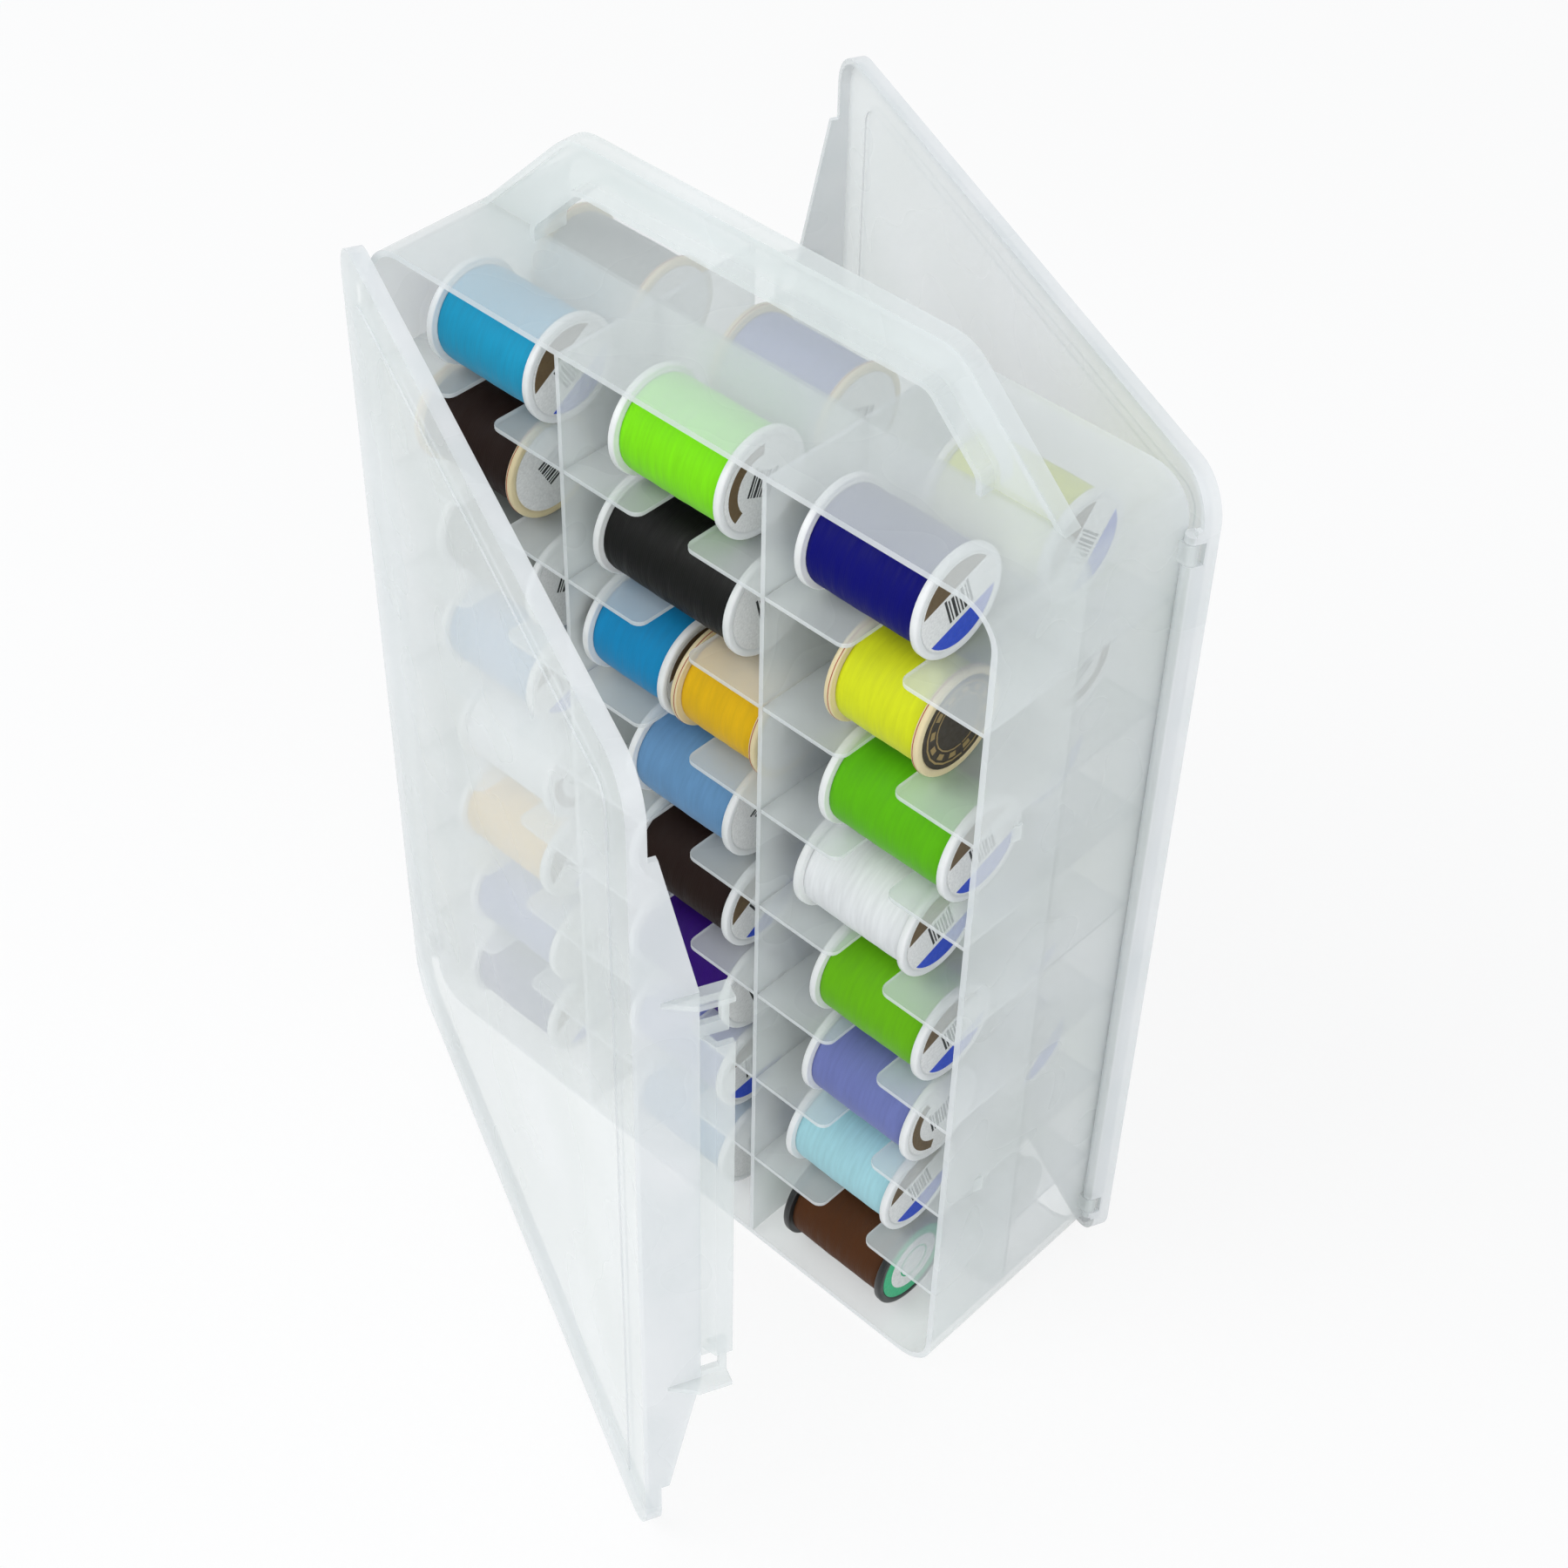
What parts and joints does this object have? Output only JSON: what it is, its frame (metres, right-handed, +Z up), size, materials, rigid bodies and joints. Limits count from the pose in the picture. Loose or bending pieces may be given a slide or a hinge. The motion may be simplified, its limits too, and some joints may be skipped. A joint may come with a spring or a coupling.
{
  "type": "thread spool storage box",
  "caption": "Upright clear plastic box with a carrying handle and divided compartments for thread spools on both sides, each under a hinged snap lid.",
  "frame": {"origin": "middle of the overall box, on the surface that the case stands on", "axes": "+Z up through the handle, -Y towards the front lid, +X along the case to the front lid's latch side"},
  "size_m": [0.2234, 0.255, 0.315],
  "materials": {
    "clear_plastic": "gloss, translucent milky polypropylene",
    "spool_white": "semi-gloss",
    "spool_cream": "semi-gloss",
    "spool_black": "semi-gloss",
    "thread_navy": "spun thread, satin",
    "thread_yellow": "spun thread, satin",
    "thread_grass": "spun thread, satin",
    "thread_white": "spun thread, satin",
    "thread_green": "spun thread, satin",
    "thread_lilac": "spun thread, satin",
    "thread_sky": "spun thread, satin",
    "thread_brown": "spun thread, satin",
    "thread_lime": "spun thread, satin",
    "thread_black": "spun thread, satin",
    "thread_gold": "spun thread, satin",
    "thread_steel_blue": "spun thread, satin",
    "thread_umber": "spun thread, satin",
    "thread_purple": "spun thread, satin",
    "thread_teal": "spun thread, satin",
    "thread_grey": "spun thread, satin"
  },
  "bodies": {
    "case": {"case_shell": "clear_plastic", "middle_wall": "clear_plastic", "front_dividers": "clear_plastic", "rear_dividers": "clear_plastic", "front_shelves": "clear_plastic", "rear_shelves": "clear_plastic", "front_shelf_tabs": "clear_plastic", "rear_shelf_tabs": "clear_plastic", "carry_handle": "clear_plastic", "front_hinge_lugs": "clear_plastic", "rear_hinge_lugs": "clear_plastic", "front_catches": "clear_plastic", "rear_catches": "clear_plastic", "front_left_spools": "spool_white", "front_middle_spools": "spool_white", "rear_left_spools": "spool_white", "rear_middle_spools": "spool_white", "rear_right_spools": "spool_white", "front_left_thread_1": "thread_teal", "front_left_thread_2": "thread_umber", "front_left_thread_3": "thread_grey", "front_left_thread_4": "thread_steel_blue", "front_left_thread_5": "thread_white", "front_left_thread_6": "thread_gold", "front_left_thread_7": "thread_lilac", "front_left_thread_8": "thread_navy", "front_middle_thread_1": "thread_lime", "front_middle_thread_2": "thread_black", "front_middle_thread_3": "thread_gold", "front_middle_thread_4": "thread_steel_blue", "front_middle_thread_5": "thread_umber", "front_middle_thread_6": "thread_purple", "front_middle_thread_7": "thread_lilac", "front_middle_thread_8": "thread_steel_blue", "rear_left_threads": "thread_yellow", "rear_middle_threads": "thread_lilac", "rear_right_threads": "thread_grey"},
    "front_lid": {"front_lid": "clear_plastic", "front_latch_flap": "clear_plastic"},
    "rear_lid": {"rear_lid": "clear_plastic", "rear_latch_flap": "clear_plastic"},
    "spool_1": {"front_right_spool_1": "spool_white", "front_right_thread_1": "thread_navy"},
    "spool_2": {"front_right_spool_2": "spool_cream", "front_right_thread_2": "thread_yellow"},
    "spool_3": {"front_right_spool_3": "spool_white", "front_right_thread_3": "thread_grass"},
    "spool_4": {"front_right_spool_4": "spool_white", "front_right_thread_4": "thread_white"},
    "spool_5": {"front_right_spool_5": "spool_white", "front_right_thread_5": "thread_green"},
    "spool_6": {"front_right_spool_6": "spool_white", "front_right_thread_6": "thread_lilac"},
    "spool_7": {"front_right_spool_7": "spool_white", "front_right_thread_7": "thread_sky"},
    "spool_8": {"front_right_spool_8": "spool_black", "front_right_thread_8": "thread_brown"}
  },
  "joints": [
    {"name": "front_lid_hinge", "type": "hinge", "parent": "case", "child": "front_lid", "pos_m": [-0.1074, -0.033, 0.141], "axis": [0, 0, -1], "range_deg": [-24.5, 155.5]},
    {"name": "rear_lid_hinge", "type": "hinge", "parent": "case", "child": "rear_lid", "pos_m": [0.1074, 0.033, 0.141], "axis": [0, 0, -1], "range_deg": [-24.5, 155.5]},
    {"name": "spool_1_pull_out", "type": "slide", "parent": "case", "child": "spool_1", "axis": [0, -1, 0], "range_m": [0, 0.034]},
    {"name": "spool_2_pull_out", "type": "slide", "parent": "case", "child": "spool_2", "axis": [0, -1, 0], "range_m": [0, 0.034]},
    {"name": "spool_3_pull_out", "type": "slide", "parent": "case", "child": "spool_3", "axis": [0, -1, 0], "range_m": [0, 0.034]},
    {"name": "spool_4_pull_out", "type": "slide", "parent": "case", "child": "spool_4", "axis": [0, -1, 0], "range_m": [0, 0.034]},
    {"name": "spool_5_pull_out", "type": "slide", "parent": "case", "child": "spool_5", "axis": [0, -1, 0], "range_m": [0, 0.034]},
    {"name": "spool_6_pull_out", "type": "slide", "parent": "case", "child": "spool_6", "axis": [0, -1, 0], "range_m": [0, 0.034]},
    {"name": "spool_7_pull_out", "type": "slide", "parent": "case", "child": "spool_7", "axis": [0, -1, 0], "range_m": [0, 0.034]},
    {"name": "spool_8_pull_out", "type": "slide", "parent": "case", "child": "spool_8", "axis": [0, -1, 0], "range_m": [0, 0.034]}
  ]
}
